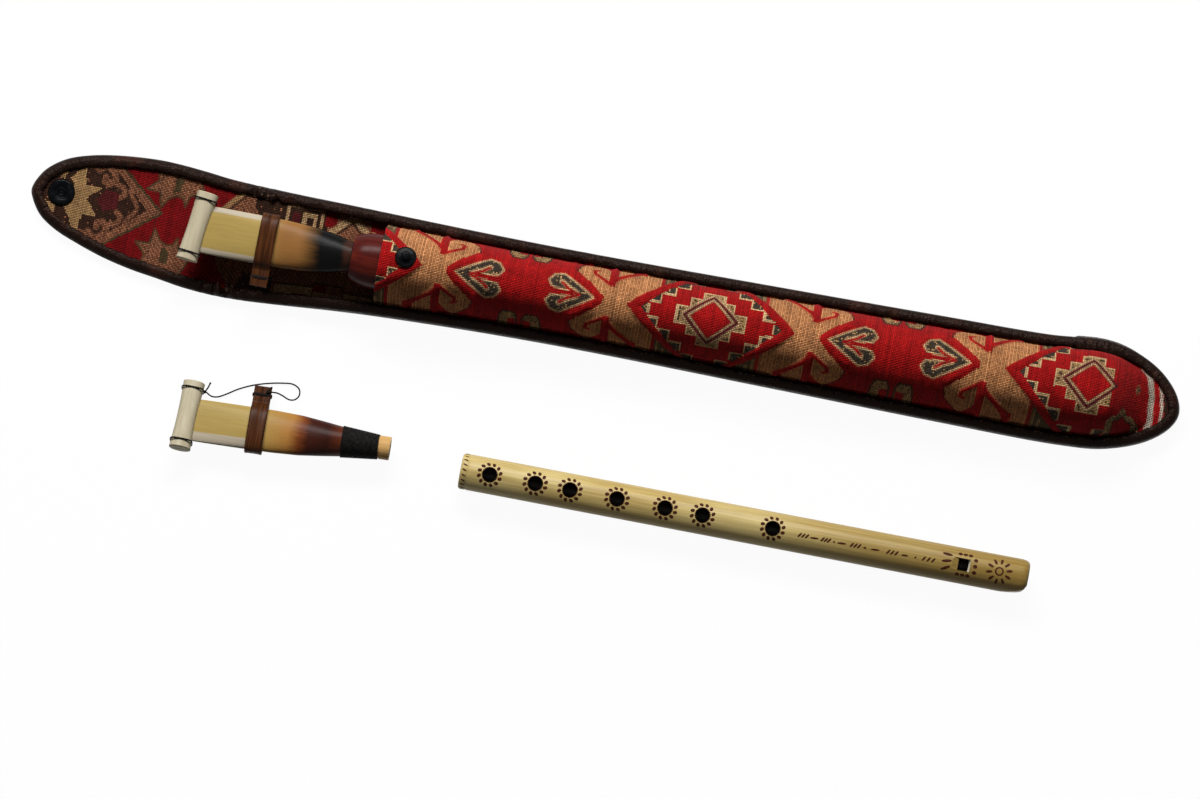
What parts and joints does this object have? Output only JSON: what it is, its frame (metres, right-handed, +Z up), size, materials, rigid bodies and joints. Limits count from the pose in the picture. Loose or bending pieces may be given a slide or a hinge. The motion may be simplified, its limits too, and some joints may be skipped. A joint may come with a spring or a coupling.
{
  "type": "duduk",
  "caption": "Duduk with its reed in a woven flap case bound in leather, with a spare capped reed and a small cane fipple pipe lying beside it",
  "frame": {"origin": "bottom centre of the whole set, on the surface it lies on", "axes": "X along the case from the flap's tip to the pouch's tail, Z up, Y towards the case from the two loose pieces"},
  "size_m": [0.5406, 0.1312, 0.0388],
  "materials": {
    "kilim_cloth": "woven wool with a red, gold and dark pattern",
    "leather": "dark brown, creased",
    "snap_enamel": "glossy black enamel",
    "apricot_wood": "oiled and polished red brown",
    "reed_cane": "polished cane, charred towards the neck",
    "pale_cane": "pale, smooth",
    "band_cane": "brown bent cane strip",
    "black_thread": "black waxed thread",
    "pipe_cane": "polished cane with burnt ornament"
  },
  "bodies": {
    "case": {"case_back_panel": "kilim_cloth", "case_front_panel": "kilim_cloth", "case_binding": "leather", "snap_stud": "snap_enamel", "snap_stud_eyelet": "snap_enamel"},
    "flap_riser": {"flap_riser_panel": "kilim_cloth", "flap_riser_binding_far": "leather", "flap_riser_binding_near": "leather"},
    "flap_tip": {"flap_tip_panel": "kilim_cloth", "flap_tip_binding": "leather", "snap_socket": "snap_enamel", "snap_cap": "snap_enamel"},
    "duduk": {"duduk_body": "apricot_wood"},
    "reed": {"reed_cane": "reed_cane", "reed_winding": "black_thread"},
    "reed_band": {"reed_band": "band_cane", "reed_band_tie": "black_thread"},
    "reed_cap": {"reed_cap_upper": "pale_cane", "reed_cap_lower": "pale_cane", "reed_cap_tie_far": "black_thread", "reed_cap_tie_near": "black_thread"},
    "spare_reed": {"spare_reed_cane": "reed_cane", "spare_reed_winding": "black_thread", "spare_reed_tether": "black_thread"},
    "spare_band": {"spare_reed_band": "band_cane", "spare_reed_band_tie": "black_thread"},
    "spare_cap": {"spare_reed_cap_upper": "pale_cane", "spare_reed_cap_lower": "pale_cane", "spare_reed_cap_tie_far": "black_thread", "spare_reed_cap_tie_near": "black_thread"},
    "pipe": {"pipe_tube": "pipe_cane", "pipe_block": "pale_cane"}
  },
  "joints": [
    {"name": "duduk_slide", "type": "slide", "parent": "case", "child": "duduk", "axis": [1, 0, 0], "range_m": [-0.3, 0.01]},
    {"name": "reed_pull", "type": "slide", "parent": "duduk", "child": "reed", "axis": [1, 0, 0], "range_m": [-0.12, 0]},
    {"name": "reed_band_slide", "type": "slide", "parent": "reed", "child": "reed_band", "axis": [1, 0, 0], "range_m": [-0.003, 0.003]},
    {"name": "reed_cap_slide", "type": "slide", "parent": "reed", "child": "reed_cap", "axis": [1, 0, 0], "range_m": [-0.012, 0]},
    {"name": "flap_riser_fold", "type": "hinge", "parent": "case", "child": "flap_riser", "pos_m": [-0.2013, 0.0379, 0.0026], "axis": [0, 1, 0], "range_deg": [0, 84]},
    {"name": "flap_tip_fold", "type": "hinge", "parent": "flap_riser", "child": "flap_tip", "pos_m": [-0.2213, 0.0379, 0.0026], "axis": [0, 1, 0], "range_deg": [0, 82]},
    {"name": "spare_reed_lift", "type": "slide", "parent": "case", "child": "spare_reed", "axis": [0, 0, 1], "range_m": [0, 0.12]},
    {"name": "spare_band_slide", "type": "slide", "parent": "spare_reed", "child": "spare_band", "axis": [0.9991, 0.0419, 0], "range_m": [-0.003, 0.003]},
    {"name": "spare_cap_slide", "type": "slide", "parent": "spare_reed", "child": "spare_cap", "axis": [0.9991, 0.0419, 0], "range_m": [-0.012, 0]},
    {"name": "pipe_lift", "type": "slide", "parent": "case", "child": "pipe", "axis": [0, 0, 1], "range_m": [0, 0.12]}
  ]
}
